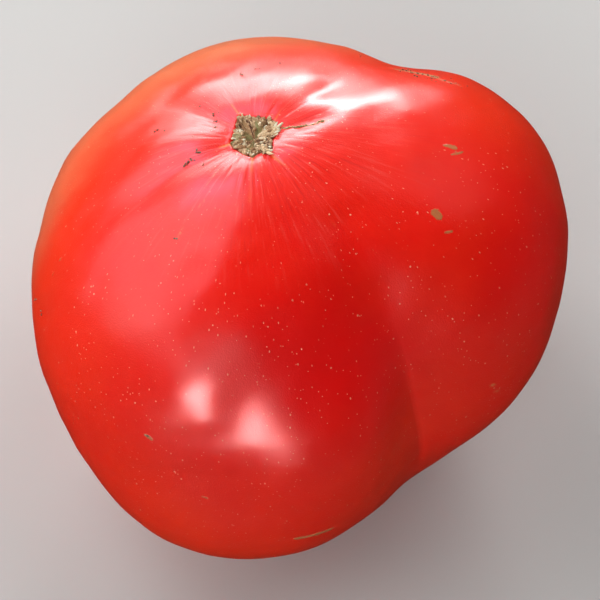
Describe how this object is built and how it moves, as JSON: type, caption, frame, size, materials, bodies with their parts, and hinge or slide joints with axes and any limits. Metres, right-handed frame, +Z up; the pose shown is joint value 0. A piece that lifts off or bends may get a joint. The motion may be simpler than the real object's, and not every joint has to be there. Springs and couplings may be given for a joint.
{
  "type": "tomato",
  "caption": "Large ripe lobed beefsteak tomato with a dished stem cavity, a deep front crease and a torn corky stalk scar, resting stem end up.",
  "frame": {"origin": "middle of the footprint of the tomato's box, at the surface that it rests on", "axes": "+Z up towards the stem end, +Y away from the side that it is seen from, +X to the right of that view, towards the right lobe"},
  "size_m": [0.1194, 0.1224, 0.0957],
  "materials": {
    "skin": "smooth waxy tomato skin, glossy, with fine pale specks",
    "cork": "dry crumbly cork, matte"
  },
  "bodies": {
    "root": {"fruit": "skin", "stem_scar": "cork"}
  },
  "joints": []
}
